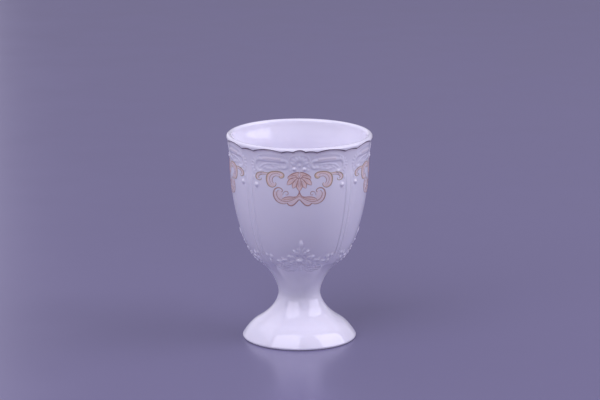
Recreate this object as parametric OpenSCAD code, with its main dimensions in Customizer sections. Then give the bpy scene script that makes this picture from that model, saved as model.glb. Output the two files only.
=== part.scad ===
// Footed egg cup in glazed porcelain: a cast bowl with a moulded border, a cast hollow foot, the slip
// that joins them in the neck, a painted line under the lip and an enamelled ornament on four panels.
// Millimetres. The axis of the cup is Z, it stands on Z = 0, and its front panel faces -Y.

/* [Cup] */
// Height from the table to the top of the lip
cup_height = 69; // [66:0.5:76]
// Outer radius of the lip
lip_r = 24.1; // [23.4:0.1:25.5]
// Thickness of the lip, which is fully rounded
lip_wall = 1.9; // [1.6:0.1:2.4]
// Thickness of the bowl's wall
bowl_wall = 2.1; // [1.7:0.1:2.6]
// Thickness of the bowl between its floor and the seam
floor_t = 10.2; // [7:0.1:12]

/* [Bowl outline] */
// How far below the top of the lip the wall turns from swelling to flaring
waist_drop = 9; // [7.5:0.1:12]
// How much smaller than at the lip the outer radius is there
waist_in = 1.2; // [0.8:0.1:2.5]
// Height at which the underside turns from hollow to round
bend_z = 27; // [25:0.1:28]
// Outer radius there
bend_r = 14; // [12.5:0.1:15]
// Slope of the underside there, above the level
bend_slope = 39; // [32:1:45]

/* [Stem and foot] */
// Radius of the neck, where bowl and foot are joined
neck_r = 6.95; // [6:0.05:8.5]
// Height of the middle of the seam in the neck
neck_z = 15.4; // [14:0.1:17.5]
// Thickness of the slip that joins bowl and foot
slip = 0.5; // [0.3:0.1:1]
// Outer radius of the foot
foot_r = 18.85; // [17:0.05:22]
// Radius of the foot's rounded edge
foot_round = 0.6; // [0.4:0.05:1.2]
// Slope of the foot above its edge
foot_slope = 58; // [48:1:68]
// Height at which the foot turns from round to hollow
sweep_z = 6.9; // [5.5:0.1:8.5]
// Outer radius there
sweep_r = 12.65; // [11:0.05:14.5]
// Slope of the foot there
sweep_slope = 35.5; // [28:0.5:45]
// Width of the flat ring that the foot stands on
ring_w = 1.8; // [1.2:0.1:2.4]
// Thickness of the foot's wall at the neck, and of the cap that closes it
foot_wall = 2.5; // [2:0.1:3]

/* [Moulded border] */
// How far below the top of the lip the border's lower edge is
border_drop = 8; // [7.5:0.1:9]
// Height of the border, up to the lowest points of the lip's scalloped edge
border_h = 6; // [5.4:0.1:6.4]
// How far the band of the lip stands out above the scalloped edge
band_step = 0.35; // [0.2:0.05:0.5]
// How far its scrolls, shells and beads stand out
relief = 0.42; // [0.3:0.02:0.55]
// Radius of the round top of the border's ridge
ridge_r = 0.5; // [0.4:0.05:0.6]
// Radius of the scrolls' round section
scroll_r = 0.44; // [0.36:0.02:0.5]
// Radius of the beads
bead_r = 0.8; // [0.6:0.05:1]
// Width of the fine upright ribs between the panels
rib_w = 0.7; // [0.5:0.05:1]
// How far the ribs stand out
rib_rise = 0.25; // [0.15:0.05:0.4]

/* [Moulded spray] */
// Height of the spray's lower edge above the bend of the underside
spray_up = 0.2; // [0:0.1:1.5]
// Turn of the spray from the panel's middle, in degrees
spray_turn = 1.7; // [-3:0.1:3]
// Height of the spray, up to the tip of its middle leaf
spray_h = 11.5; // [10:0.1:12.5]
// How far its leaves stand out
spray_rise = 0.34; // [0.2:0.02:0.5]

/* [Enamelled ornament] */
// Thickness of the enamel on the glaze
enamel_t = 0.08; // [0.06:0.01:0.15]
// Width of the painted line along the scalloped edge
line_w = 0.33; // [0.25:0.01:0.5]
// Width of the fine lines of the ornament
fine_w = 0.28; // [0.2:0.01:0.4]
// Gap between the ornament and the border above it
print_gap = 0.2; // [0.1:0.1:1.5]
// Height of the ornament
print_h = 11; // [10:0.1:11.2]

/* [Hidden] */
$fn = 96;
// One overrun for all cuts
overrun = 1;
panel_turn = 90;
porcelain = "ghostwhite";
salmon = [0.9, 0.67, 0.58];
brown_gold = [0.62, 0.48, 0.42];
mauve_brown = [0.43, 0.36, 0.42];

// Heights of the lower edges of the border, the ornament and the spray, and place of the waist
border_z = cup_height - border_drop;
print_z = border_z - print_gap - print_h;
spray_z = bend_z + spray_up;
waist_z = cup_height - waist_drop;
waist_r = lip_r - waist_in;

function along(angle, length) = length * [cos(angle), sin(angle)];
function bezier(a, b, c, d, steps) = [
    for (i = [0 : steps])
        let (t = i / steps)
        pow(1 - t, 3) * a + 3 * t * pow(1 - t, 2) * b + 3 * t * t * (1 - t) * c + pow(t, 3) * d
];
// A curve from a to b that leaves and arrives at the given slopes. Its two reaches are shares of the
// straight distance.
function curve(a, slope_a, b, slope_b, reach_shares, steps) =
    let (d = norm(b - a))
    bezier(a, a + along(slope_a, reach_shares[0] * d), b - along(slope_b, reach_shares[1] * d), b, steps);
function arc(centre, r, from, to, steps) = [
    for (i = [0 : steps]) centre + along(from + (to - from) * i / steps, r)
];
function tail(points) = [for (i = [1 : len(points) - 1]) points[i]];
function reversed(points) = [for (i = [len(points) - 1 : -1 : 0]) points[i]];
function last(points) = points[len(points) - 1];
function ahead(points, i) = points[min(i + 1, len(points) - 1)] - points[max(i - 1, 0)];
// A curve beside another, at a steady distance to its left
function beside(points, gap) = [
    for (i = [0 : len(points) - 1])
        let (d = ahead(points, i))
        points[i] + gap * [-d.y, d.x] / norm(d)
];

// Outline of the bowl's outside, from the neck up to the lip
seam_top = neck_z + slip / 2;
seam_bottom = neck_z - slip / 2;
under_reach_shares = [0.112, 0.52];
side_reach_shares = [0.166, 0.448];
flare_reach_shares = [0.48, 0.36];
lip_slope = 84;
lip_round = lip_wall / 2;
mouth_r = lip_r - lip_wall;
// Under the scalloped edge the wall is thinner by the band's step.
plain_round = (lip_wall - band_step) / 2;
plain_lip = [lip_r - band_step, cup_height - plain_round];
under = curve([neck_r, seam_top], 90, [bend_r, bend_z], bend_slope, under_reach_shares, 8);
side = curve([bend_r, bend_z], bend_slope, [waist_r, waist_z], 90, side_reach_shares, 12);
flare = curve([waist_r, waist_z], 90, plain_lip, lip_slope, flare_reach_shares, 5);
wall = concat(under, tail(side), tail(flare));
wall_table = [for (p = wall) [p.y, p.x]];
function wall_r(z) = lookup(z, wall_table);
// How far the wall leans out from the upright at a height
lean_span = bowl_wall;
function wall_lean(z) = atan2(wall_r(z + lean_span / 2) - wall_r(z - lean_span / 2), lean_span);

// Outline of the bowl's inside, from the middle of its floor up to the lip
floor_z = seam_top + floor_t;
floor_reach_shares = [0.45, 0.4];
inner_side = beside(side, bowl_wall);
inner_floor = curve([0, floor_z], 0, inner_side[0], bend_slope, floor_reach_shares, 7);
inner_flare = curve([waist_r - bowl_wall, waist_z], 90, [mouth_r, plain_lip.y], lip_slope,
    flare_reach_shares, 5);
inside = concat(inner_floor, tail(inner_side), tail(inner_flare));

// Places a flat shape or a solid on the bowl's wall: X runs round the cup, Y up the wall, Z out of it.
module on_wall(turn, height) {
    rotate([0, 0, turn])
        translate([0, -wall_r(height), height])
            rotate([90 + wall_lean(height), 0, 0])
                children();
}

// Round tools that reach through the band of the lip. Their upper edges, side by side, are the scalloped
// edge. Each has its turn from the panel's middle, and as shares of the lip's radius the drop of its crest
// below the lip and its own radius.
scallop_shares = [[-25, 0.0375, 0.645], [-8.7, 0.048, 0.225], [0, 0.029, 0.13], [8.7, 0.048, 0.225],
    [25, 0.0375, 0.645], [45, 0.067, 0.39]];
module scallop(shares, grow) {
    rotate([0, 0, shares[0]])
        translate([0, -mouth_r, cup_height - (shares[1] + shares[2]) * lip_r])
            rotate([90, 0, 0])
                cylinder(r = shares[2] * lip_r + grow, h = lip_wall + overrun);
}
module scallops(grow = 0) {
    for (turn = [0 : panel_turn : 359])
        rotate([0, 0, turn])
            for (shares = scallop_shares)
                scallop(shares, grow);
}
band_low = border_z + border_h - ridge_r;
band_top = [mouth_r + lip_round, cup_height - lip_round];
band_edge = concat([[wall_r(band_low) + band_step, band_low]], arc(band_top, lip_round, 0, 90, 5));
module lip_band() {
    difference() {
        rotate_extrude()
            polygon(concat(band_edge, [[band_top.x, band_low]]));
        scallops();
    }
}

// A round-topped bar that runs level round the cup, rooted in the wall
module level_bar(height, from, to) {
    root_r = wall_r(height) - bowl_wall / 2;
    rotate([0, 0, from - 90])
        rotate_extrude(angle = to - from)
            polygon(concat(arc([wall_r(height) + relief - ridge_r, height], ridge_r, -90, 90, 6),
                [[root_r, height + ridge_r], [root_r, height - ridge_r]]));
}
// A scroll that lies in the wall: a round bar bent to an arc, lower than the ridge, with an eye at its end
scroll_low_share = 0.88;
eye_share = 1.3;
module scroll(r, from, to) {
    translate([0, 0, scroll_low_share * relief - scroll_r]) {
        rotate([0, 0, min(from, to)])
            rotate_extrude(angle = abs(to - from))
                translate([r, 0])
                    circle(r = scroll_r, $fn = 16);
        rotate([0, 0, to])
            translate([r, 0])
                sphere(r = eye_share * scroll_r, $fn = 16);
    }
}
// A leaf that lies on the wall along Y, with both of its pointed ends sunk in it
module leaf(length, width) {
    r = (length * length + width * width) / (4 * width);
    translate([0, 0, relief - width / 2])
        rotate([90, 0, 0])
            rotate_extrude($fn = 24)
                intersection() {
                    translate([width / 2 - r, 0])
                        circle(r = r);
                    translate([0, -length / 2])
                        square([width / 2, length]);
                }
}
// A flat-topped pointed leaf of even height, rooted in the wall
module flat_leaf(length, width) {
    r = (length * length + width * width) / (4 * width);
    root = bowl_wall / 3;
    translate([0, 0, -root])
        linear_extrude(root + spray_rise)
            intersection() {
                translate([r - width / 2, 0])
                    circle(r = r);
                translate([width / 2 - r, 0])
                    circle(r = r);
            }
}
module bead(r) {
    translate([0, 0, relief - r])
        sphere(r = r, $fn = 24);
}

// One side of the border: a level ridge with a scroll at both ends, a bead by the shell and one by the
// ribs. Turns are measured from the panel's middle, and the shares are of the border's height.
ridge_turns = [12.5, 33.5];
ridge_share = 0.62;
inner_scroll_share = 0.2;
outer_scroll_share = 0.33;
bead_turns = [4.4, 36.8];
bead_shares = [0.18, -0.78];
// An angle in the wall on the right side of a panel (1) or mirrored on its left side (-1)
function sided(side, angle) = 90 + side * (angle - 90);
module border_side(side) {
    ridge_z = border_z + ridge_share * border_h;
    inner_r = inner_scroll_share * border_h;
    outer_r = outer_scroll_share * border_h;
    turns = side * ridge_turns;
    level_bar(ridge_z, min(turns), max(turns));
    on_wall(turns[0], ridge_z)
        translate([0, -inner_r])
            scroll(inner_r, sided(side, 80), sided(side, 290));
    on_wall(turns[1], ridge_z)
        translate([0, -outer_r])
            scroll(outer_r, sided(side, 100), sided(side, -80));
    for (i = [0, 1])
        on_wall(side * bead_turns[i], border_z + bead_shares[i] * border_h)
            bead(bead_r);
}

// The shell in the middle of the border: a fan of leaves that spread from a point under it. The shares of
// the border's height are the point's height, the leaves' distance from it, their length and their width.
fan_share = 0.42;
fan_reach_share = 0.34;
fan_leaf_shares = [0.37, 0.165];
fan_tilt = 34;
module shell_fan() {
    for (i = [-2 : 2])
        on_wall(0, border_z + fan_share * border_h)
            rotate([0, 0, i * fan_tilt])
                translate([0, fan_reach_share * border_h])
                    leaf(fan_leaf_shares[0] * border_h, fan_leaf_shares[1] * border_h);
}

// The spray of one panel. Each leaf has its turn from the spray's middle, the shares of the spray's height
// that are its own height, length and width, and its tilt from the upright.
spray_leaf_shares = [[6.5, 0.57, 0.28, 0.1, -25], [12, 0.39, 0.25, 0.095, -55], [19, 0.29, 0.24, 0.09, -75],
    [31.5, 0.385, 0.2, 0.075, -24], [34.5, 0.19, 0.19, 0.075, 30]];
spray_bud_shares = [[0, 0.84, 0.3, 0.095, 0], [0, 0.55, 0.22, 0.09, 0]];
spray_bead_share = 0.27;
module spray_leaf(side, shares) {
    on_wall(spray_turn + side * shares[0], spray_z + shares[1] * spray_h)
        rotate([0, 0, side * shares[4]])
            flat_leaf(shares[2] * spray_h, shares[3] * spray_h);
}
module spray() {
    for (side = [-1, 1])
        for (shares = spray_leaf_shares)
            spray_leaf(side, shares);
    for (shares = spray_bud_shares)
        spray_leaf(1, shares);
    on_wall(spray_turn, spray_z + spray_bead_share * spray_h)
        bead(bead_r);
}

// A fine rib beside the line between two panels, which rises out of the wall and sinks back into it
rib_turn = 42.6;
module rib(side) {
    path = [for (p = wall) if (p.y > spray_z + spray_h / 4 && p.y < border_z - bead_r) p];
    crest = [
        for (i = [0 : len(path) - 1])
            let (swell = min(1, 3 * sin(180 * i / (len(path) - 1))), d = ahead(path, i))
            path[i] - rib_rise * (2 * swell - 1) * [-d.y, d.x] / norm(d)
    ];
    width = atan(rib_w / waist_r);
    rotate([0, 0, side * rib_turn - 90 - width / 2])
        rotate_extrude(angle = width)
            polygon(concat(crest, reversed(beside(path, bowl_wall / 2))));
}

module bowl_body() {
    rotate_extrude()
        polygon(concat(
            [[0, seam_top]], under, tail(side), tail(flare),
            tail(arc([mouth_r + plain_round, plain_lip.y], plain_round, 0, 180, 8)),
            tail(reversed(inside))));
}
module bowl() {
    color(porcelain) {
        bowl_body();
        lip_band();
        for (turn = [0 : panel_turn : 359])
            rotate([0, 0, turn]) {
                shell_fan();
                spray();
                for (side = [-1, 1]) {
                    border_side(side);
                    rib(side);
                }
            }
    }
}

brim_reach_shares = [0.577, 0.232];
stem_reach_shares = [0.61, 0.1];
hollow_reach_shares = [0.4, 0.4];
module foot() {
    edge_centre = [foot_r - foot_round, foot_round];
    edge = arc(edge_centre, foot_round, -90, 90 - foot_slope, 5);
    sweep = [sweep_r, sweep_z];
    brim = curve(last(edge), 180 - foot_slope, sweep, 180 - sweep_slope, brim_reach_shares, 8);
    stem = curve(sweep, 180 - sweep_slope, [neck_r, seam_bottom], 90, stem_reach_shares, 10);
    inner_sweep = sweep - foot_wall * [sin(sweep_slope), cos(sweep_slope)];
    hollow_r = neck_r - foot_wall;
    hollow_top = seam_bottom - foot_wall;
    hollow_brim = curve([edge_centre.x - ring_w, 0], 180 - foot_slope, inner_sweep, 180 - sweep_slope,
        hollow_reach_shares, 5);
    hollow_stem = curve(inner_sweep, 180 - sweep_slope, [hollow_r, hollow_top - hollow_r / 2], 90,
        hollow_reach_shares, 7);
    dome = curve(last(hollow_stem), 90, [0, hollow_top], 180, hollow_reach_shares, 4);
    color(porcelain)
        rotate_extrude()
            polygon(concat(
                edge, tail(brim), tail(stem), [[0, seam_bottom]],
                reversed(dome), tail(reversed(hollow_stem)), tail(reversed(hollow_brim))));
}

module slip_seam() {
    color(porcelain)
        translate([0, 0, seam_bottom])
            cylinder(r = neck_r, h = slip);
}

module rim_line() {
    color(mauve_brown)
        intersection() {
            rotate_extrude()
                polygon(concat(band_edge, beside(reversed(band_edge), enamel_t)));
            difference() {
                scallops(line_w);
                scallops();
            }
        }
}

// Draws its children on the right of the panel's middle and mirrored on the left.
module both_sides() {
    for (side = [0, 1])
        mirror([side, 0, 0])
            children();
}

// The ornament of one panel, drawn flat in three places on each side and laid on the wall. Each place has
// its turn from the panel's middle and the height of its middle as a share of the ornament's height.
// Lengths in the drawings are shares of that height too.
module on_print(turn, share) {
    z = print_z + share * print_h;
    rotate([0, 0, turn])
        translate([0, bowl_wall - wall_r(z), z])
            rotate([90, 0, 0])
                linear_extrude(bowl_wall + overrun)
                    children();
}
module print_skin() {
    path = [for (p = wall) if (p.y > print_z - bowl_wall && p.y < border_z + bowl_wall) p];
    rotate([0, 0, -90 - panel_turn / 2])
        rotate_extrude(angle = panel_turn)
            polygon(concat(path, reversed(beside(path, -enamel_t))));
}
module petal(length, width) {
    r = (length * length + width * width) / (4 * width);
    intersection() {
        translate([r - width / 2, length / 2])
            circle(r = r);
        translate([width / 2 - r, length / 2])
            circle(r = r);
    }
}
// A smooth line through knots: place as shares of the ornament's height, and the slope there
knot_reach_share = 0.38;
function line(knots, steps) = [
    for (i = [0 : len(knots) - 2])
        let (a = knots[i], b = knots[i + 1])
        for (p = curve([a[0], a[1]] * print_h, a[2], [b[0], b[1]] * print_h, b[2],
            [knot_reach_share, knot_reach_share], steps)) p
];
// The same without the points where two pieces of the line meet twice
function thinned(points) = [
    for (i = [0 : len(points) - 1])
        if (i == 0 || norm(points[i] - points[i - 1]) > fine_w / 10) points[i]
];
function smooth(knots) = thinned(line(knots, 3));
function piece(list, from, to) = [for (i = [from : to]) list[i]];
module stroke(path) {
    polygon(concat(beside(path, fine_w / 2), reversed(beside(path, -fine_w / 2))));
}
// The colour between two lines, clear of both
module filling(path, other) {
    gap = fine_w / 2 + enamel_t;
    polygon(concat(beside(path, gap), reversed(beside(other, -gap))));
}

// The palmette in the middle: turn and length of each hanging petal
palmette_share = 0.93;
petal_gap_share = 0.08;
petal_w_share = 0.11;
petal_shares = [[0, 0.39], [27, 0.33], [54, 0.37], [81, 0.28]];
module petals(grow) {
    for (row = petal_shares)
        for (side = row[0] == 0 ? [1] : [-1, 1])
            rotate(180 + side * row[0])
                translate([0, petal_gap_share * print_h - 2 * grow])
                    petal(row[1] * print_h + 4 * grow, petal_w_share * print_h + 2 * grow);
}

// The large scroll below, the hooked scroll above it and the small curl beside the ribs. Each has a place:
// its turn from the panel's middle, and its height as a share of the ornament's.
large_place_shares = [13.5, 0.3];
large_outer_shares = [[-0.48, 0.03, -65], [-0.36, -0.15, -45], [-0.18, -0.265, -12], [0.055, -0.275, 5],
    [0.235, -0.17, 55], [0.285, 0, 90], [0.235, 0.15, 122], [0.125, 0.225, 175], [0.03, 0.165, 255],
    [0.085, 0.105, 350]];
large_inner_shares = [[-0.44, 0.0, -60], [-0.27, -0.14, -22], [-0.08, -0.18, 0], [0.09, -0.135, 42],
    [0.17, 0, 85], [0.145, 0.11, 115]];
large_bud_shares = [[-0.05, 0.15, 200], [-0.13, 0.07, 260], [-0.1, -0.03, 320], [-0.03, -0.03, 60]];
hook_place_shares = [22, 0.79];
hook_outer_shares = [[-0.17, 0.075, 190], [-0.26, 0.12, 95], [-0.2, 0.2, 35], [-0.045, 0.245, 4],
    [0.145, 0.205, -28], [0.235, 0.08, -78], [0.21, -0.12, -115], [0.075, -0.225, 185],
    [-0.07, -0.16, 115], [-0.05, -0.075, 30]];
hook_inner_shares = [[-0.13, 0.14, 20], [0.02, 0.17, -6], [0.125, 0.09, -62], [0.135, -0.055, -96],
    [0.055, -0.145, 190]];
curl_place_shares = [35, 0.83];
curl_shares = [[-0.36, 0.145, 3], [-0.14, 0.135, -4], [0.02, 0.09, -28], [0.1, 0, -82],
    [0.045, -0.08, 190], [-0.055, -0.05, 115], [-0.025, 0.01, 30]];

module panel_linework(turn) {
    color(brown_gold)
        rotate([0, 0, turn])
            intersection() {
                print_skin();
                union() {
                    on_print(0, palmette_share)
                        difference() {
                            petals(fine_w / 2);
                            petals(-fine_w / 2);
                        }
                    both_sides() {
                        for (shares = [large_outer_shares, large_inner_shares, large_bud_shares])
                            on_print(large_place_shares[0], large_place_shares[1])
                                stroke(smooth(shares));
                        for (shares = [hook_outer_shares, hook_inner_shares])
                            on_print(hook_place_shares[0], hook_place_shares[1])
                                stroke(smooth(shares));
                        on_print(curl_place_shares[0], curl_place_shares[1])
                            stroke(smooth(curl_shares));
                    }
                }
            }
}
module panel_enamel(turn) {
    color(salmon)
        rotate([0, 0, turn])
            intersection() {
                print_skin();
                union() {
                    on_print(0, palmette_share)
                        petals(-fine_w / 2 - enamel_t);
                    both_sides() {
                        on_print(large_place_shares[0], large_place_shares[1])
                            filling(smooth(piece(large_outer_shares, 1, 5)),
                                smooth(piece(large_inner_shares, 1, 4)));
                        on_print(hook_place_shares[0], hook_place_shares[1])
                            filling(smooth(piece(hook_outer_shares, 3, 7)),
                                smooth(piece(hook_inner_shares, 1, 4)));
                    }
                }
            }
}
module front_enamel() {
    panel_enamel(0);
}
module right_enamel() {
    panel_enamel(panel_turn);
}
module back_enamel() {
    panel_enamel(2 * panel_turn);
}
module left_enamel() {
    panel_enamel(-panel_turn);
}
module front_linework() {
    panel_linework(0);
}
module right_linework() {
    panel_linework(panel_turn);
}
module back_linework() {
    panel_linework(2 * panel_turn);
}
module left_linework() {
    panel_linework(-panel_turn);
}

bowl();
foot();
slip_seam();
rim_line();
front_enamel();
right_enamel();
back_enamel();
left_enamel();
front_linework();
right_linework();
back_linework();
left_linework();
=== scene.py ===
import math
import bpy
import numpy as np
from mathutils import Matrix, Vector


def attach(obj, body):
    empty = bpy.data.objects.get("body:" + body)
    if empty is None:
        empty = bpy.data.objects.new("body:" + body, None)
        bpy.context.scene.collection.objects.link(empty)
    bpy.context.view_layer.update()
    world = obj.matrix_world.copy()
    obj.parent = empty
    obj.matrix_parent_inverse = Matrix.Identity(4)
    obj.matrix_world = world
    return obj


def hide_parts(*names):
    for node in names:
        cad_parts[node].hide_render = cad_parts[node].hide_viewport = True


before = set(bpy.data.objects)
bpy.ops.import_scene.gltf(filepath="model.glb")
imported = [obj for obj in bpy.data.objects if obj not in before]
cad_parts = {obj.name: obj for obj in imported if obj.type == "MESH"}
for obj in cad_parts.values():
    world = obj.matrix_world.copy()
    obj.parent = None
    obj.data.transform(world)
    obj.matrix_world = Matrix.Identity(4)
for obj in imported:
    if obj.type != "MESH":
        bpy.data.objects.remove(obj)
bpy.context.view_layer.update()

# Shapes are drawn in millimetres in the CAD's frame and become metres where a mesh is made. Turns are degrees from
# the front panel's middle, counted to the right as seen from the front.
MM = 0.001
PANEL = 90                          # degrees of one panel
COLS = 1200       # columns round the bowl outside
FEW = COLS // 4                     # columns round the bowl inside
ROUND_COLS = 480                    # columns round the foot and the slip

# ---------------------------------------------------------------- camera, fitted to the photograph's outline
HEIGHT = 69.0
TILT = 14.2                         # degrees above the table
AWAY = 1000.0                       # from the cup's middle
FOCUS, FRAME_W = 3019.0, 600        # in pixels of a 600 x 400 frame
ABOVE, ASIDE = 35.0, 0.6            # pixels from the cup's middle to the frame's middle
SENSOR = 36


def add_camera():
    tilt = math.radians(TILT)
    middle = Vector((0, 0, HEIGHT / 2))
    eye = middle + AWAY * Vector((0, -math.cos(tilt), math.sin(tilt)))
    up = Vector((0, math.sin(tilt), math.cos(tilt)))
    aim = (middle - eye).normalized() + up * (ABOVE / FOCUS) + Vector((1, 0, 0)) * (ASIDE / FOCUS)
    data = bpy.data.cameras.new("camera")
    data.sensor_width = SENSOR
    data.lens = FOCUS / FRAME_W * SENSOR
    data.clip_start, data.clip_end = 0.02, 30
    camera = bpy.data.objects.new("camera", data)
    camera.location = eye * MM
    camera.rotation_mode = "QUATERNION"
    camera.rotation_quaternion = aim.to_track_quat("-Z", "Y")
    bpy.context.scene.collection.objects.link(camera)
    bpy.context.scene.camera = camera


add_camera()


# ---------------------------------------------------------------- outline, as in the part's source
def along(angle, length):
    a = math.radians(angle)
    return np.array([math.cos(a), math.sin(a)]) * length


def bezier(a, b, c, d, steps):
    s = np.linspace(0, 1, steps + 1)[:, None]
    return (1 - s) ** 3 * a + 3 * s * (1 - s) ** 2 * b + 3 * s * s * (1 - s) * c + s ** 3 * d


def curve(a, slope_a, b, slope_b, reach, steps):
    """A curve between two points with a slope at each; reach holds the handles as shares of the distance."""
    a, b = np.array(a, float), np.array(b, float)
    d = np.linalg.norm(b - a)
    return bezier(a, a + along(slope_a, reach[0] * d), b - along(slope_b, reach[1] * d), b, steps)


def arc(centre, r, start, end, steps):
    return np.array([np.array(centre) + along(start + (end - start) * i / steps, r) for i in range(steps + 1)])


def join(*lines):
    return np.vstack([lines[0]] + [line[1:] for line in lines[1:]])


def lengths(line):
    """The distance from a line's start to each of its points."""
    return np.concatenate([[0], np.cumsum(np.linalg.norm(np.diff(line, axis=0), axis=1))])


LIP_R, LIP_WALL, LIP_SLOPE = 24.1, 1.9, 84
BOWL_WALL, FLOOR_T = 2.1, 10.2
WAIST_Z, WAIST_R = 60.0, 22.9
BEND_Z, BEND_R, BEND_SLOPE = 27.0, 14.0, 39.0
NECK_R, NECK_Z, SLIP = 6.95, 15.4, 0.5
FOOT_R, FOOT_ROUND, FOOT_SLOPE, FOOT_WALL, RING_W = 18.85, 0.6, 58.0, 2.5, 1.8
SWEEP_Z, SWEEP_R, SWEEP_SLOPE = 6.9, 12.65, 35.5
BORDER_Z, BORDER_H, BAND_STEP = 61.0, 6.0, 0.35
# Handles of the outline's curves
UNDER, SIDE, FLARE, FLOOR = (0.112, 0.52), (0.166, 0.448), (0.48, 0.36), (0.45, 0.4)
FOOT_LOW, FOOT_HIGH, HOLLOW = (0.577, 0.232), (0.61, 0.1), (0.4, 0.4)

LIP_ROUND = LIP_WALL / 2
LIP_CENTRE = (LIP_R - LIP_ROUND, HEIGHT - LIP_ROUND)
MOUTH_R = LIP_R - LIP_WALL
PLAIN_LIP = (LIP_R - BAND_STEP, HEIGHT - (LIP_WALL - BAND_STEP) / 2)
SEAM_TOP, SEAM_BOTTOM = NECK_Z + SLIP / 2, NECK_Z - SLIP / 2

under = curve((NECK_R, SEAM_TOP), 90, (BEND_R, BEND_Z), BEND_SLOPE, UNDER, 60)
side = curve((BEND_R, BEND_Z), BEND_SLOPE, (WAIST_R, WAIST_Z), 90, SIDE, 120)
flare = curve((WAIST_R, WAIST_Z), 90, PLAIN_LIP, LIP_SLOPE, FLARE, 50)
wall = join(under, side, flare)
wall_run = lengths(wall)


def wall_r(z):
    return np.interp(z, wall[:, 1], wall[:, 0])


def run_at(z):
    """Distance along the wall's outline at a height."""
    return np.interp(z, wall[:, 1], wall_run)


def z_at(run):
    return np.interp(run, wall_run, wall[:, 1])


def mm_per_degree(z):
    return math.pi / 180 * wall_r(z)


def wall_normal(z):
    """The outward normal of the plain wall as (radial, upward) parts."""
    e = 0.25
    dr = wall_r(z + e) - wall_r(z - e)
    dz = np.minimum(z + e, wall[-1, 1]) - np.maximum(z - e, wall[0, 1])
    n = np.hypot(dr, dz)
    return dz / n, -dr / n


# ---------------------------------------------------------------- the lip's band and its scalloped edge
# Scallops: turn of the middle, how far the arc's top is below the lip, its radius, both as shares of the lip's radius
SCALLOPS = [(-25, 0.0375, 0.645), (-8.7, 0.048, 0.225), (0, 0.029, 0.13), (8.7, 0.048, 0.225),
            (25, 0.0375, 0.645), (45, 0.067, 0.39), (-45, 0.067, 0.39)]
SCALLOP_INSET = 0.05
BAND_LOW = BORDER_Z + BORDER_H - 0.5
# The step from the wall up to the band: distance past the edge, height over the wall
STEP = [(-0.01, 0.02), (0.02, 0.12), (0.07, 0.235), (0.14, 0.31), (0.24, 0.345)]

band = join(np.array([[wall_r(BAND_LOW) + BAND_STEP, BAND_LOW], [LIP_R, HEIGHT - LIP_ROUND]]),
            arc(LIP_CENTRE, LIP_ROUND, 0, 90, 24))
band_run = lengths(band)


def edge_z(turn):
    """Height of the scalloped edge at a turn from a panel's middle, in -45 to 45 degrees."""
    best = np.full_like(turn, -1e9, dtype=float)
    for at, drop_share, r_share in SCALLOPS:
        x = (LIP_R - SCALLOP_INSET) * np.sin(np.radians(turn - at))
        r = r_share * LIP_R
        best = np.maximum(best, HEIGHT - (drop_share + r_share) * LIP_R + np.sqrt(np.maximum(r * r - x * x, 0)))
    return best


def edge_run_at(z):
    """Distance along the band's outline at a height."""
    return np.interp(z, band[:, 1], band_run)


def band_point(run):
    """The band's (r, z) at a distance along its outline."""
    return np.interp(run, band_run, band[:, 0]), np.interp(run, band_run, band[:, 1])


# ---------------------------------------------------------------- moulded relief, as heights over the wall
# Each entry is a function of a place and the values of one form. Where forms meet, the higher one shows.
FORMS = []
SPRAY_TURN = 1.7            # the spray's middle, a little right of the panel's
MEAN_DEGREE = 0.39          # mm of one degree round the bowl, where only a line's taper depends on it
# How far past a form's edge places are looked at: in degrees and mm for a line, in mm for a drop or a leaf
MARGIN_TURN, MARGIN_RUN, MARGIN = 4, 1.2, 0.4
LEAF_FULL, LEAF_LEAN = 1.15, 0.25           # a leaf is broadest a little under its middle
VEIN_DEPTH, VEIN_W, VEIN_SHARE = 0.28, 0.09, 0.06
SINK_SPARES = 0.12          # places that rise more than this aren't sunk


def sides(both):
    return (1, -1) if both else (1,)


def stroke_rise(turn, run, per, points, half, height, ends):
    line = [(a, float(run_at(z))) for a, z in points]
    turns, runs = zip(*line)
    near = ((turn > min(turns) - MARGIN_TURN) & (turn < max(turns) + MARGIN_TURN)
            & (run > min(runs) - MARGIN_RUN) & (run < max(runs) + MARGIN_RUN))
    if not near.any():
        return near, 0
    turn, run, per = turn[near], run[near], per[near]
    # lengths of the pieces, for the taper at the ends
    pieces = [math.hypot((b[0] - a[0]) * MEAN_DEGREE, b[1] - a[1]) for a, b in zip(line, line[1:])]
    total, at = sum(pieces), 0.0
    best = np.zeros_like(turn)
    for a, b, length in zip(line, line[1:], pieces):
        ax, bx = (a[0] - turn) * per, (b[0] - turn) * per
        ay, by = a[1] - run, b[1] - run
        dx, dy = bx - ax, by - ay
        k = np.clip(-(ax * dx + ay * dy) / np.maximum(dx * dx + dy * dy, 1e-9), 0, 1)
        distance = np.hypot(ax + k * dx, ay + k * dy)
        u = (at + k * length) / total
        w = half * (ends + (1 - ends) * np.clip(np.minimum(u, 1 - u) * 4, 0, 1) ** 0.6)
        q = distance / np.maximum(w, 1e-6)
        best = np.maximum(best, height * (np.sqrt(np.clip(1 - q * q, 0, 1)) * (w / half) ** 0.5))
        at += length
    return near, best


def tilted(turn, run, per, at, at_z, reach, tilt):
    """The places near a form, and their distances across it and along it."""
    near = (np.abs(turn - at) * per < reach + MARGIN) & (np.abs(run - run_at(at_z)) < reach + MARGIN)
    x, y = (turn[near] - at) * per[near], run[near] - float(run_at(at_z))
    c, s = math.cos(math.radians(tilt)), math.sin(math.radians(tilt))
    return near, x * c - y * s, x * s + y * c


def drop_rise(turn, run, per, at, at_z, half_x, half_z, height, tilt):
    near, across, up = tilted(turn, run, per, at, at_z, max(half_x, half_z) * 1.3, tilt)
    q = (across / half_x) ** 2 + (up / half_z) ** 2
    return near, height * np.sqrt(np.clip(1 - q, 0, 1))


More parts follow.
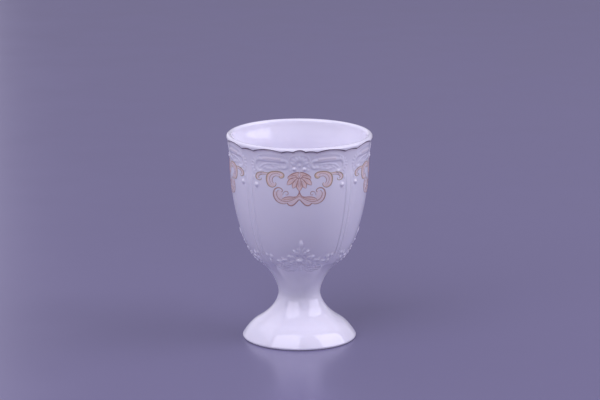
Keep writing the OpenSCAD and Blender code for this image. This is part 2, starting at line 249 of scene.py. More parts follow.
def leaf_rise(turn, run, per, at, at_z, length, width, height, tilt):
    near, across, up = tilted(turn, run, per, at, at_z, max(length, width), tilt)
    v = up / (length / 2)
    full = np.clip(1 - v * v, 0, 1)
    w = width / 2 * full * (1 - LEAF_LEAN * v) * LEAF_FULL
    e = np.clip(1 - (across / np.maximum(w, 1e-4)) ** 2, 0, 1)
    body = height * np.sqrt(e) * full ** 0.3
    body *= 1 - VEIN_DEPTH * np.exp(-(across / (VEIN_W + VEIN_SHARE * width)) ** 2)
    body[np.abs(v) >= 1] = 0
    return near, body


def stroke(points, half, height, ends=0.35, both=True):
    """A raised line through (turn, height) points; half is its half width, ends the share left at both ends."""
    for s in sides(both):
        FORMS.append((stroke_rise, [(s * a, z) for a, z in points], half, height, ends))


def drop(turn, z, half_x, half_z, height, tilt=0, both=True):
    """A raised oval."""
    for s in sides(both):
        FORMS.append((drop_rise, s * turn, z, half_x, half_z, height, s * tilt))


def leaf(turn, z, length, width, height, tilt=0, both=True, middle=0.0):
    """A raised pointed leaf with a sunk middle line; middle is the turn that its pair mirrors about."""
    for s in sides(both):
        FORMS.append((leaf_rise, middle + s * turn, z, length, width, height, s * tilt))


def sprig(points, half, height):
    """A raised line on both sides of the spray's middle."""
    for s in sides(True):
        stroke([(SPRAY_TURN + s * a, z) for a, z in points], half, height, both=False)


def ring(turn, z, r, start, end, n=14):
    """Points of an arc of radius r round a place on the wall."""
    per = math.degrees(1 / float(wall_r(z)))
    return [(turn + r * math.cos(math.radians(start + (end - start) * i / n)) * per,
             z + r * math.sin(math.radians(start + (end - start) * i / n))) for i in range(n + 1)]


# Border: a ridge with a scroll at each end, and a thin line beneath it
RIDGE_Z = BORDER_Z + 0.62 * BORDER_H
RIDGE_FROM, RIDGE_TO = 12.5, 33.5
INNER_R, OUTER_R = 0.2 * BORDER_H, 0.33 * BORDER_H
ridge = [(a, RIDGE_Z) for a in np.linspace(RIDGE_FROM, RIDGE_TO, 12)]
outer = ring(RIDGE_TO, RIDGE_Z - OUTER_R, OUTER_R, 90, -100)
inner = ring(RIDGE_FROM, RIDGE_Z - INNER_R, INNER_R, 90, 300)
stroke(inner[::-1] + ridge + outer, 0.56, 0.2, ends=0.8)
drop(*inner[-1], 0.6, 0.6, 0.18)
drop(*outer[-1], 0.62, 0.62, 0.28)
stroke([(16.5, 63.3), (20, 63.6), (25, 63.6), (30, 63.1), (33.4, 62.2), (33.2, 61.6)], 0.3, 0.14)
# Row of small pearls that rides on the ridge
PEARLS = [(15.6 + 1.18 * k, 65.2 + 0.1 * math.sin(math.pi * k / 12)) for k in range(13)]
for at, z in PEARLS:
    drop(at, z, 0.2, 0.42, 0.32, tilt=-6)
# Frill of short flutes that runs from the ridge down round the outer scroll
FRILL_AT, FRILL_Z, FRILL_R, FLUTE_TURN = 34.6, 62.6, 2.5, 24
for k in range(9):
    a = math.radians(96 - FLUTE_TURN * k)
    leaf(FRILL_AT + math.cos(a) * FRILL_R * math.degrees(1 / 23.2), FRILL_Z + math.sin(a) * FRILL_R, 1.5, 0.55, 0.2,
         tilt=FLUTE_TURN * k - 6)
stroke([(10.6, 65.6), (12.6, 66.45), (17, 66.75), (24, 66.8), (30, 66.5), (34.4, 65.9), (37.6, 64.9), (40.2, 63.4),
        (40.4, 62.2)], 0.22, 0.1)
stroke([(37.2, 60.2), (38.9, 59.7), (40.2, 60.4), (40.4, 61.5), (39.9, 62.4)], 0.3, 0.16)
# Feathered leaves that lean towards the ridge: turn, height, length, tilt
for at, z, length, tilt in ((30.6, 62.9, 2.4, -52), (28.6, 62.3, 2.3, -62), (26.2, 61.95, 2.1, -74),
                            (23.4, 61.75, 1.9, -86), (17.2, 62.5, 2.1, 62), (19.2, 62.05, 1.9, 74),
                            (21.2, 62.95, 1.7, 84)):
    leaf(at, z, length, 0.66, 0.15, tilt=tilt)
# Shell of seven leaves in the middle, its frame and its drops
SHELL_Z, SHELL_R, SHELL_TURN = 63.52, 2.04, 26
for i in range(-3, 4):
    a = math.radians(SHELL_TURN * i)
    leaf(math.degrees(math.sin(a) * SHELL_R / 23.4), SHELL_Z + math.cos(a) * SHELL_R, 2.35, 0.85, 0.24,
         tilt=SHELL_TURN * i, both=False)
drop(0, 63.3, 0.5, 0.5, 0.24, both=False)
stroke([(7.6, 64.2), (8.3, 65.0), (6.6, 66.3), (3.6, 66.7), (0, 66.95)], 0.2, 0.14)
drop(4.0, BORDER_Z + 0.18 * BORDER_H, 0.66, 0.6, 0.42)
drop(2.2, 61.35, 0.34, 0.34, 0.2)
drop(7.4, 61.6, 0.36, 0.36, 0.18)
stroke([(1.2, 62.4), (2.4, 63.3), (5.4, 63.4), (8.2, 62.6), (8.8, 61.7)], 0.18, 0.12)
# Bead beside the ribs, a small leaf over it and two small beads under it
drop(37.2, BORDER_Z - 0.83 * BORDER_H, 0.78, 0.72, 0.46)
leaf(39.8, 58.4, 1.6, 0.55, 0.18, tilt=-14)
drop(36.6, 55.3, 0.3, 0.3, 0.16)
drop(39.6, 54.7, 0.26, 0.26, 0.14)

# Spray round the bottom of the bowl: stem, middle leaf, then leaves in pairs, each with a round tip.
# A pair: turn from the middle, height, length, width, tilt, the tip's turn and height
SPRAY_LEAVES = ((4.6, 32.8, 2.4, 1.26, 48, 7.0, 33.6), (9.6, 31.2, 2.4, 1.26, 68, 12.0, 31.6),
                (16.8, 30.1, 2.3, 1.19, 78, 19.4, 30.2), (23.6, 29.5, 2.1, 1.12, 84, 26.0, 29.6),
                (8.4, 29.7, 1.8, 0.98, 112, 10.6, 29.3), (15.2, 28.7, 1.8, 0.98, 112, 17.4, 28.3))
stroke([(SPRAY_TURN, z) for z in (37.6, 36.6, 35.0, 33.4)], 0.4, 0.34, ends=0.3, both=False)
drop(SPRAY_TURN, 36.1, 0.6, 1.5, 0.48, both=False)
leaf(0, 33.6, 2.6, 1.3, 0.32, middle=SPRAY_TURN, both=False)
for at, z, length, width, tilt, tip, tip_z in SPRAY_LEAVES:
    leaf(at, z, length, width, 0.32, tilt=tilt, middle=SPRAY_TURN)
    for s in (-1, 1):
        drop(SPRAY_TURN + s * tip, tip_z, 0.46, 0.72, 0.42, tilt=s * tilt, both=False)
for at, z, tilt in ((2.8, 34.2, 24), (7.4, 32.6, 34), (13.4, 31.2, 44), (20.4, 30.6, 50)):
    leaf(at, z, 1.7, 0.8, 0.24, tilt=tilt, middle=SPRAY_TURN)
sprig([(0.6, 32.6), (2.6, 31.3), (7, 30.3), (13, 29.4), (19, 28.9), (25, 28.9), (28.5, 29.4), (30, 30.2)], 0.22, 0.16)
# Three leaves beside the ribs, two of them with a round tip
for at, z, length, tilt in ((32.0, 31.1, 2.0, 24), (34.2, 29.0, 2.0, -30), (37.6, 31.3, 1.6, 12)):
    leaf(at, z, length, 1.1, 0.32, tilt=tilt)
drop(32.8, 30.9, 0.5, 0.62, 0.42, tilt=24)
drop(34.6, 29.5, 0.5, 0.62, 0.42, tilt=-30)
# Large bead in the middle with three small ones at each side, and the stem below it
drop(0, 30.1, 1.2, 0.7, 0.62, both=False)
for at in (3.6, 5.6, 7.2):
    drop(at, 29.9 - 0.09 * at, 0.26, 0.26, 0.18)
stroke([(SPRAY_TURN + 0.6, 28.6), (SPRAY_TURN + 0.4, 27.4), (SPRAY_TURN, 25.4)], 0.26, 0.2, ends=0.25, both=False)
# Lower scrolls with small leaves and beads between them
sprig([(2.6, 28.2), (6, 27.3), (12, 26.7), (18, 26.9), (22.6, 27.9), (24.6, 28.6)], 0.3, 0.22)
sprig([(15.5, 27.8), (18.0, 28.2), (20.6, 27.7), (20.2, 27.1), (18.6, 27.1)], 0.22, 0.2)
sprig([(5.2, 26.4), (10, 25.6), (18, 25.3), (26, 26.0), (31.5, 27.2), (35, 27.9)], 0.34, 0.18)
leaf(30.4, 27.3, 2.2, 0.75, 0.22, tilt=62)
drop(29.6, 27.3, 0.5, 0.4, 0.4)
leaf(23.8, 26.6, 1.8, 0.62, 0.2, tilt=70, middle=SPRAY_TURN)
leaf(8.2, 28.1, 1.7, 0.6, 0.2, tilt=60, middle=SPRAY_TURN)
drop(21.1, 27.6, 0.66, 0.5, 0.46)
drop(13.2, 27.6, 0.4, 0.34, 0.26)
# Sunk places between the leaves: turn, height, radius, depth
SINKS = [(SPRAY_TURN + s * at, z, r, depth) for at, z, r, depth in ((3.0, 31.6, 1.0, 0.3), (5.6, 30.8, 0.9, 0.2))
         for s in (-1, 1)]

RIB_LOW, RIB_HIGH, RIB_PLACE, RIB_HALF, RIB_RISE, SWELL_RISE = 29.0, 59.5, 2.4, 0.36, 0.25, 0.10


def rib_height(turn, z):
    """Two fine ribs and a low swell between them on the line between two panels."""
    away = np.abs(PANEL / 2 - np.abs(turn)) * mm_per_degree(z)
    place = RIB_PLACE * mm_per_degree(z)
    fade = np.clip(3 * np.sin(math.pi * np.clip((z - RIB_LOW) / (RIB_HIGH - RIB_LOW), 0, 1)), 0, 1)
    rib = RIB_RISE * np.sqrt(np.clip(1 - ((away - place) / RIB_HALF) ** 2, 0, 1))
    swell = SWELL_RISE * np.clip(1 - (away / place) ** 2, 0, 1)
    return fade * np.maximum(rib, swell)


def relief(turn, z):
    """Height of the moulding over the plain wall, for arrays of turn (-45 to 45) and z."""
    out = rib_height(turn, z)
    run, per = run_at(z), mm_per_degree(z)
    for rise, *values in FORMS:
        near, height = rise(turn, run, per, *values)
        out[near] = np.maximum(out[near], height)
    for at, at_z, r, depth in SINKS:
        q = (((turn - at) * per) ** 2 + (z - at_z) ** 2) / r ** 2
        out -= depth * np.exp(-2 * q) * (out < SINK_SPARES)
    return out


# ---------------------------------------------------------------- mesh helpers
def build(name, verts, quads, extra=(), angle=50):
    """A smooth mesh object from numpy arrays: verts in mm, quads as indices, extra faces as lists."""
    me = bpy.data.meshes.new(name)
    quads = np.asarray(quads, dtype=np.int64).reshape(-1, 4)
    sizes = [4] * len(quads) + [len(f) for f in extra]
    corners = np.concatenate([quads.ravel(), np.array([i for f in extra for i in f], dtype=np.int64)])
    me.vertices.add(len(verts))
    me.vertices.foreach_set("co", (np.asarray(verts, float) * MM).ravel())
    me.loops.add(len(corners))
    me.loops.foreach_set("vertex_index", corners.astype(np.int32))
    me.polygons.add(len(sizes))
    me.polygons.foreach_set("loop_start", (np.cumsum(sizes) - sizes).astype(np.int32))
    me.update(calc_edges=True)
    me.validate()
    me.polygons.foreach_set("use_smooth", np.ones(len(me.polygons), dtype=bool))
    me.set_sharp_from_angle(angle=math.radians(angle))
    ob = bpy.data.objects.new(name, me)
    bpy.context.scene.collection.objects.link(ob)
    return ob


def add_field(ob, name, values):
    """A number at each point of a mesh, for its material to read."""
    ob.data.attributes.new(name, "FLOAT", "POINT").data.foreach_set("value", values.astype(np.float32))


def around(cols):
    """Turns the whole way round, from one border between two panels."""
    return -PANEL / 2 + np.arange(cols) * 360.0 / cols


def in_panel(turns):
    """The same turns, counted from the middle of the panel that each lies in."""
    return (turns + PANEL / 2) % PANEL - PANEL / 2


def to_xyz(turn, r, z):
    a = np.radians(turn)
    return np.stack([np.sin(a) * r, -np.cos(a) * r, z + 0 * a], axis=-1)


def axis_point(z):
    return np.array([[0.0, 0.0, z]])


def grid_quads(rows, cols, first=0, wrap=True, flip=False):
    i, j = np.meshgrid(np.arange(rows - 1), np.arange(cols if wrap else cols - 1), indexing="ij")
    k = (j + 1) % cols
    q = np.stack([i * cols + j, i * cols + k, (i + 1) * cols + k, (i + 1) * cols + j], axis=-1).reshape(-1, 4) + first
    return q[:, ::-1] if flip else q


def fan(pole, first, cols, flip=False):
    """Triangles between a point on the axis and a ring of points."""
    pairs = [(first + i, first + (i + 1) % cols) for i in range(cols)]
    return [(pole, b, a) if flip else (a, b, pole) for a, b in pairs]


def revolve(name, profile, cols):
    """A closed revolved piece; profile holds (r, z) points, and both its ends are on the axis."""
    turns = around(cols)
    rings = [to_xyz(turns, r, np.full(cols, z)) for r, z in profile[1:-1]]
    start, end = 0, 1 + len(rings) * cols
    quads = grid_quads(len(rings), cols, first=1)
    extra = fan(start, 1, cols, flip=True) + fan(end, end - cols, cols)
    return build(name, np.vstack([axis_point(profile[0][1]), *rings, axis_point(profile[-1][1])]), quads, extra)


# ---------------------------------------------------------------- bowl
COARSE, FINE = ((0.6, 0.125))
# Rows of the bowl's outer mesh: from, to, step along the wall
ROWS = ((SEAM_TOP, 24.6, 0.5), (24.6, 39.3, FINE), (39.3, 54.6, COARSE), (54.6, 59.0, FINE * 1.2), (59.0, 66.3, FINE))
CLIMB_ROWS, BAND_ROWS = 9, 15       # rows that climb to the scalloped edge, and rows of the band
GLAZE_SOFTENS = 4   # passes that round the moulding off, as glaze does
HOLLOW_SOFTENS, HOLLOW_DEPTH = 10, 0.16
EDGE_GAP, FADE_H = 0.05, 0.35       # the last row's distance from the edge, and the moulding's fade under the edge
# Traces of colour in the glaze, with a painted shadow under the band's step: strength and reach of the line's trace
# and that shadow, strength and half size of a pearl's
LINE_TRACE_AND_SHADE, LINE_REACH = 0.8, 0.45
PEARL_TRACE, PEARL_X, PEARL_Z = 0.7, 0.34, 0.5


def spaced(lo, hi, step):
    """Heights between two heights, at an even step along the wall, without the first."""
    a, b = float(run_at(lo)), float(run_at(hi))
    n = max(2, int(round((b - a) / step)))
    return z_at(np.linspace(a, b, n + 1))[1:]


def soften(field, times):
    """Spreads a grid of heights a little; its columns go round, its rows end."""
    for _ in range(times):
        field = 0.5 * field + 0.25 * (np.roll(field, 1, 1) + np.roll(field, -1, 1))
        field = 0.6 * field + 0.2 * (np.vstack([field[:1], field[:-1]]) + np.vstack([field[1:], field[-1:]]))
    return field


def band_rows(edge):
    """Rows of (r, z) over the scalloped edge: the rounded step, the band and the lip's round top."""
    start = edge_run_at(edge)
    plain = wall_r(np.minimum(edge, PLAIN_LIP[1]))
    rows = []
    for past, rise in STEP:
        r, z = band_point(np.clip(start + past, 0, band_run[-1]))
        rows.append((r - (r - plain) * (1 - rise / BAND_STEP), z))
    last = STEP[-1][0]
    for v in np.linspace(0, 1, BAND_ROWS + 1)[1:]:
        rows.append(band_point(start + last + (band_run[-1] - start - last) * v))
    for r, z in arc(LIP_CENTRE, LIP_ROUND, 90, 180, 8)[1:]:
        rows.append((np.full(len(edge), r), np.full(len(edge), z)))
    return [np.vstack(part) for part in zip(*rows)]


def inside_profile():
    """The bowl's inner outline from the lip down to the axis."""
    d = np.gradient(side, axis=0)
    normal = np.stack([-d[:, 1], d[:, 0]], axis=1) / np.linalg.norm(d, axis=1)[:, None]
    inner_side = side + BOWL_WALL * normal
    inner_floor = curve((0, SEAM_TOP + FLOOR_T), 0, inner_side[0], BEND_SLOPE, FLOOR, 24)
    inner_flare = curve((WAIST_R - BOWL_WALL, WAIST_Z), 90, (MOUTH_R, PLAIN_LIP[1] - 0.2), LIP_SLOPE, FLARE, 14)
    return join(inner_floor, inner_side[::4], inner_flare)[::-1]


def make_bowl():
    plain_z = np.concatenate([[SEAM_TOP]] + [spaced(*rows) for rows in ROWS])
    turn = around(COLS)[:COLS // 4]
    edge = edge_z(turn)
    climb = np.linspace(0, 1, CLIMB_ROWS + 1)[1:, None]
    z = np.vstack([np.tile(plain_z[:, None], (1, len(turn))),
                   plain_z[-1] + (edge[None, :] - EDGE_GAP - plain_z[-1]) * climb])
    turns = np.tile(turn, (len(z), 1))
    height = soften(relief(turns, z), GLAZE_SOFTENS) * np.clip((edge[None, :] - z) / FADE_H, 0, 1)
    nr, nz = wall_normal(z)
    band_r, band_z = band_rows(edge)
    r = np.tile(np.vstack([wall_r(np.minimum(z, PLAIN_LIP[1])) + height * nr, band_r]), (1, 4))
    up = np.tile(np.vstack([z + height * nz, band_z]), (1, 4))
    rows = len(r)
    outside = to_xyz(np.tile(around(COLS), (rows, 1)), r, up)

    profile = inside_profile()
    rings = [to_xyz(around(FEW), ring_r, np.full(FEW, ring_z)) for ring_r, ring_z in profile[:-1]]
    lip_row, first_ring = (rows - 1) * COLS, rows * COLS
    pole = first_ring + len(rings) * FEW
    stub = pole + 1
    verts = np.vstack([outside.reshape(-1, 3), *rings, axis_point(profile[-1][1]), axis_point(SEAM_TOP)])
    quads = [grid_quads(rows, COLS), grid_quads(len(rings), FEW, first_ring)]
    # four outer columns meet one inner column at the mouth
    extra = [[lip_row + (4 * i + k) % COLS for k in range(5)] + [first_ring + (i + 1) % FEW, first_ring + i]
             for i in range(FEW)]
    extra += fan(pole, pole - FEW, FEW) + fan(stub, 0, COLS, flip=True)
    bowl = build("porcelain_bowl", verts, np.vstack(quads), extra, angle=60)

    def add_outside_field(name, field):
        values = np.zeros(len(verts))
        values[:len(field) * COLS] = field.ravel()
        add_field(bowl, name, values)

    # how hollow each place is, for the glaze that gathers there and the shade painted in the hollows
    around_height = np.tile(height, (1, 4))
    hollow = (soften(around_height, HOLLOW_SOFTENS) - around_height) / HOLLOW_DEPTH
    add_outside_field("hollow", np.clip(hollow, 0, 1))
    # a trace of the line's colour and a painted shadow under the band's step at the edge, and a trace of salmon on the
    # pearls
    warm = LINE_TRACE_AND_SHADE * np.exp(-np.clip(edge[None, :] - z, 0, 9) / LINE_REACH)
    for at, at_z in PEARLS:
        for s in (-1, 1):
            q = ((turns - s * at) * mm_per_degree(z) / PEARL_X) ** 2 + ((z - at_z) / PEARL_Z) ** 2
            warm = np.maximum(warm, PEARL_TRACE * np.exp(-q))
    add_outside_field("warm", np.tile(warm, (1, 4)))
    return bowl


# ---------------------------------------------------------------- foot and slip
def make_foot():
    edge_centre = (FOOT_R - FOOT_ROUND, FOOT_ROUND)
    edge = arc(edge_centre, FOOT_ROUND, -90, 90 - FOOT_SLOPE, 16)
    sweep = np.array([SWEEP_R, SWEEP_Z])
    outside = join(edge, curve(edge[-1], 180 - FOOT_SLOPE, sweep, 180 - SWEEP_SLOPE, FOOT_LOW, 36),
                   curve(sweep, 180 - SWEEP_SLOPE, (NECK_R, SEAM_BOTTOM), 90, FOOT_HIGH, 40))
    hollow_r, hollow_top = NECK_R - FOOT_WALL, SEAM_BOTTOM - FOOT_WALL
    lean = math.radians(SWEEP_SLOPE)
    inner_sweep = sweep - FOOT_WALL * np.array([math.sin(lean), math.cos(lean)])
    inside = join(curve((edge_centre[0] - RING_W, 0), 180 - FOOT_SLOPE, inner_sweep, 180 - SWEEP_SLOPE, HOLLOW, 16),
                  curve(inner_sweep, 180 - SWEEP_SLOPE, (hollow_r, hollow_top - hollow_r / 2), 90, HOLLOW, 20))
    inside = join(inside, curve(inside[-1], 90, (0, hollow_top), 180, HOLLOW, 14))
    return revolve("porcelain_foot", np.vstack([inside[::-1], outside, [[0, SEAM_BOTTOM]]]), ROUND_COLS)


def make_slip():
    profile = [(0, SEAM_BOTTOM), (NECK_R, SEAM_BOTTOM), (NECK_R, NECK_Z), (NECK_R, SEAM_TOP), (0, SEAM_TOP)]
    return revolve("slip_joint", profile, ROUND_COLS)


# ---------------------------------------------------------------- shapes laid on the wall
UNDER_GLAZE = 0.05          # how far a laid shape reaches into the wall
FILL_POINTS, FILL_COLS, LINE_COLS = 70, 8, 4
FILL_LIFT, PETAL_LIFT = (0.035, 0.012), (0.04, 0.015)       # heights over the moulding: middle, rim
LINE_DOME = 0.04            # of a printed line's middle over its rims


class Laid:
    """Gathers thin domed shapes that lie on the bowl, then makes one mesh of them."""

    def __init__(self):
        self.verts, self.quads, self.tone, self.count = [], [], [], 0

    def strip(self, left, right, across, mid, rim, tone):
        """A thin solid between two lines of (turn, z) points; mid and rim are its heights in mm."""
        v = np.linspace(0, 1, across + 1)[None, :, None]
        flat = left[:, None, :] * (1 - v) + right[:, None, :] * v
        turns, z = flat[..., 0], flat[..., 1]
        rows, cols = z.shape
        n = rows * cols
        lift = rim + (mid - rim) * np.sqrt(np.clip(1 - (2 * v[..., 0] - 1) ** 2, 0, 1))
        nr, nz = wall_normal(z)
        r = wall_r(np.minimum(z, PLAIN_LIP[1]))
        top, low = self.count, self.count + n
        for h in (relief(in_panel(turns), z) + lift, -UNDER_GLAZE):
            self.verts.append(to_xyz(turns, r + h * nr, z + h * nz).reshape(-1, 3))
            self.tone.append(np.broadcast_to(tone, z.shape).ravel())
        # the edge's points in turn, for the strip's sides
        ids = np.arange(n).reshape(rows, cols)
        loop = np.concatenate([ids[0], ids[1:, -1], ids[-1, -2::-1], ids[-2:0:-1, 0]])
        after = np.roll(loop, -1)
        self.quads += [grid_quads(rows, cols, top, wrap=False), grid_quads(rows, cols, low, wrap=False, flip=True),
                       np.stack([top + loop, low + loop, low + after, top + after], axis=-1)]
        self.count += 2 * n

    def finish(self, name):
        ob = build(name, np.vstack(self.verts), np.vstack(self.quads))
        add_field(ob, "tone", np.concatenate(self.tone))
        return ob


def smooth(points, n=7):
    """A smooth line through points, n steps for each pair of them."""
    p = np.array(points, float)
    p = np.vstack([2 * p[:1] - p[1:2], p, 2 * p[-1:] - p[-2:-1]])
    s = np.linspace(0, 1, n, endpoint=False)[:, None]
    out = [0.5 * (2 * b + (c - a) * s + (2 * a - 5 * b + 4 * c - d) * s ** 2 + (3 * b - a - 3 * c + d) * s ** 3)
           for a, b, c, d in zip(p, p[1:], p[2:], p[3:])]
    return np.vstack(out + [p[-2:-1]])


def resample(line, n):
    """The same line with n points at even steps."""
    run = lengths(line)
    at = np.linspace(0, run[-1], n)
    return np.stack([np.interp(at, run, line[:, k]) for k in (0, 1)], axis=1)


def beside(points, gap):
    """A line at a distance from another, which may change along it."""
    d = np.gradient(points, axis=0)
    n = np.stack([-d[:, 1], d[:, 0]], axis=1) / np.maximum(np.linalg.norm(d, axis=1), 1e-9)[:, None]
    return points + gap[:, None] * n


def taper(n, ends, reach=0.4):
    u = np.linspace(0, 1, n)
    return ends + (1 - ends) * np.clip(np.minimum(u, 1 - u) / reach, 0, 1) ** 0.7


# One side of a panel's ornament: points are (x, z) in mm, x from the panel's middle.
LOBE = [(0, 51.95), (0.4, 51.7), (1.05, 50.95), (1.85, 50.15), (2.65, 49.85), (3.4, 50.05), (3.95, 50.6)]
LARGE = [(3.7, 50.75), (5.1, 50.4), (6.5, 50.7), (7.5, 51.4), (8.15, 52.5), (8.38, 53.85), (7.95, 55.15), (6.9, 55.8),
         (5.85, 55.5), (5.45, 54.75), (5.9, 54.4)]
LARGE_IN = [(0, 53.15), (1.2, 52.4), (2.5, 51.7), (3.8, 51.3), (5.2, 51.3), (6.4, 51.85), (7.15, 52.75), (7.38, 53.8),
            (7.15, 54.6), (6.65, 54.95)]
LARGE_TOP = [(0, 54.2), (0.35, 53.6), (0.85, 53.0), (1.8, 52.8), (3.2, 52.85), (4.5, 52.65), (5.4, 52.15), (5.7, 51.7)]
LARGE_CUP = [(5.3, 52.3), (5.5, 53.1), (5.45, 54.0), (5.7, 54.8), (6.3, 55.1)]
LARGE_VEIN = [(0.5, 53.2), (1.8, 52.45), (3.2, 52.1), (4.4, 52.0), (5.2, 51.7)]
BUD = [(5.35, 53.3), (5.2, 54.0), (4.75, 54.55), (4.1, 54.7), (3.65, 54.25), (3.7, 53.65), (4.15, 53.4), (4.4, 53.8)]
HOOK = [(6.2, 59.75), (6.55, 59.3), (5.95, 58.95), (5.2, 59.25), (4.98, 60.05), (5.5, 60.75), (6.6, 61.08),
        (7.9, 61.1), (9.2, 60.8), (10.2, 60.1), (10.65, 58.9), (10.55, 57.4), (9.95, 56.25), (8.9, 55.78),
        (7.95, 56.1), (7.5, 56.85), (7.8, 57.5)]
HOOK_MID = [(6.2, 60.1), (7.1, 60.5), (8.2, 60.35), (9.15, 59.75), (9.62, 58.8), (9.5, 57.7), (8.95, 56.85)]
HOOK_IN = [(6.5, 59.25), (7.2, 59.62), (8.0, 59.5), (8.6, 58.85), (8.75, 58.0), (8.5, 57.35), (8.15, 57.1)]
CURL = [(9.9, 60.45), (10.8, 60.4), (11.9, 60.5), (12.95, 60.3), (13.75, 59.7), (14.08, 58.8), (13.75, 58.0),
        (13.0, 57.68), (12.35, 57.95), (12.3, 58.5)]
CURL_IN = [(10.5, 59.75), (11.4, 59.8), (12.3, 59.6), (13.0, 59.15), (13.18, 58.65), (12.85, 58.35)]
WING = [(0.15, 61.12), (1.1, 60.98), (2.2, 60.55), (3.1, 60.0), (3.75, 59.35)]
WING_IN = [(0.55, 60.15), (1.2, 60.2), (2.1, 59.95), (2.9, 59.6), (3.5, 59.3)]
BUTTON = [(0.0, 61.0), (0.42, 60.45), (0.38, 59.9), (0.0, 59.4)]
TIE = [(0.16, 54.95), (0.05, 54.6), (0.12, 54.15), (0.4, 53.6), (0.75, 53.1)]
UNDER_BUTTON = [(0.0, 59.05), (0.7, 59.25), (1.15, 59.75)]
MIDDLE_VEIN = [(0.36, 58.6), (0.42, 57.6), (0.28, 56.6), (0.08, 56.0)]
# Colour between two lines, with its tones from the first to the second: 0 pale, 0.5 salmon, 1 gold
FILLS = ((LOBE + LARGE[1:7], LARGE_IN[:8], (0.6, 0.1, 0.0, 0.3, 0.0, 0.3)),
         (LARGE_IN[:6], LARGE_TOP, (0.3, 0.1, 0.7, 0.15, 0.8)),
         (HOOK[4:14], HOOK_IN, (1.0, 0.4, 0.0, 0.1, 0.0, 0.05)),
         (HOOK[4:0:-1], HOOK[1::-1], (1.0, 0.6)),
         (HOOK[12:], [HOOK_IN[-2], HOOK_IN[-1], (7.9, 57.3)], (0.3, 0.05)),
         (LARGE_IN[4:], LARGE_CUP, (0.15, 0.0, 0.1)),
         (CURL[:7], CURL_IN, (0.8, 0.05, 0.2)),
         (WING, WING_IN, (0.75, 0.3, 0.5)),
         ([(0, 61.1), (0.02, 60.0), (0, 58.8)], [(0.5, 60.9), (1.35, 60.0), (0.9, 59.0)], (0.1, 0.3, 0.6)))
# Lines: points, width, tone from 0.4 brown to 1 gold, share of the width left at the ends, height
LINES = ((LOBE, 0.4, 0.5, 0.8, 0.06), (LARGE, 0.4, 0.6, 0.4, 0.06), (LARGE_IN, 0.24, 0.5, 0.5, 0.065),
         (LARGE_TOP, 0.34, 0.4, 0.5, 0.06), (LARGE_VEIN, 0.18, 0.45, 0.3, 0.075), (BUD, 0.22, 0.5, 0.4, 0.06),
         (HOOK, 0.38, 0.95, 0.3, 0.06), (HOOK_MID, 0.18, 0.55, 0.4, 0.075), (HOOK_IN, 0.2, 0.55, 0.4, 0.06),
         (CURL, 0.3, 1.0, 0.4, 0.06), (CURL_IN, 0.2, 0.9, 0.4, 0.06), (WING, 0.4, 0.5, 0.5, 0.065),
         (WING_IN, 0.18, 0.5, 0.4, 0.06), (BUTTON, 0.16, 0.4, 0.7, 0.06), (TIE, 0.36, 0.4, 0.5, 0.07),
         (UNDER_BUTTON, 0.3, 0.4, 0.6, 0.07), (MIDDLE_VEIN, 0.14, 0.4, 0.4, 0.075))
# Petals: angle from straight down, start and end from the heart, width, bend
PETALS = [(0, 0.5, 5.0, 1.95, 0), (27, 0.6, 4.6, 1.6, 0.1), (53, 0.7, 5.0, 1.6, 0.22), (77, 0.8, 3.9, 1.2, 0.25)]
HEART = 59.85               # height of the point that the petals hang from
# A petal's printed lines: width, tone, share of the width left at the ends
PETAL_EDGE, PETAL_VEIN, VEIN_HIGH = (0.27, 0.45, 0.35), (0.1, 0.4, 0.3), 0.075


def petal_sides(angle, first, last, width, bend, n=22):
    """Both sides of a petal that hangs from the palmette's heart."""
    v = np.linspace(0, 1, n)
    half = width / 2 * np.sin(math.pi * v ** 1.3) ** 0.8
    y = first + v * (last - first)
    x0 = -bend * np.sin(math.pi * v) * 1.2
    a = math.radians(180 + angle)
    return [np.stack([(x0 + s * half) * math.cos(a) - y * math.sin(a),
                      HEART + (x0 + s * half) * math.sin(a) + y * math.cos(a)], axis=1) for s in (-1, 1)]


def make_ornament(panel, colour_name, print_name):
    """The enamel and the printed lines of the panel whose middle is at a turn."""
    ink, colour = Laid(), Laid()

    def lay(points, s):
        """(x, z) points as (turn, z) on the right (s = 1) or left (s = -1) side of the panel."""
        x, z = points[:, 0], points[:, 1]
        return np.stack([panel + s * np.degrees(np.arcsin(x / wall_r(z))), z], axis=1)

    def lay_line(points, s, width, tone, ends, high=0.06):
        w = width / 2 * taper(len(points), ends)
        left, right = lay(beside(points, s * w), s), lay(beside(points, -s * w), s)
        ink.strip(right, left, LINE_COLS, high, high - LINE_DOME, tone)

    def lay_fill(one, other, s, tones):
        first, second = lay(resample(one, FILL_POINTS), s), lay(resample(other, FILL_POINTS), s)
        if s > 0:
            first, second, tones = second, first, tones[::-1]
        steps = np.linspace(0, 1, FILL_COLS + 1)
        tone = np.interp(steps, np.linspace(0, 1, len(tones)), tones)
        colour.strip(first, second, FILL_COLS, *FILL_LIFT, tone[None, :])

    for s in (1, -1):
        for one, other, tones in FILLS:
            lay_fill(smooth(one), smooth(other), s, tones)
        for points, width, tone, ends, high in LINES:
            lay_line(smooth(points), s, width, tone, ends, high)
    for angle, *shape in PETALS:
        one, other = petal_sides(angle, *shape)
        v = np.linspace(0, 1, len(one))[:, None]
        middle = 1 - np.abs(np.linspace(-1, 1, FILL_COLS + 1))[None, :]
        tone = 0.75 - 0.08 * v - 0.75 * middle ** 0.9 * (1 - 0.3 * v)
        for s in sides(angle != 0):
            left, right = (one, other)[::s]
            colour.strip(lay(right, s), lay(left, s), FILL_COLS, *PETAL_LIFT, tone)
            for petal_side in (one, other):
                lay_line(petal_side, s, *PETAL_EDGE)
            lay_line(((one + other) / 2)[4:15], s, *PETAL_VEIN, VEIN_HIGH)
    return colour.finish(colour_name), ink.finish(print_name)


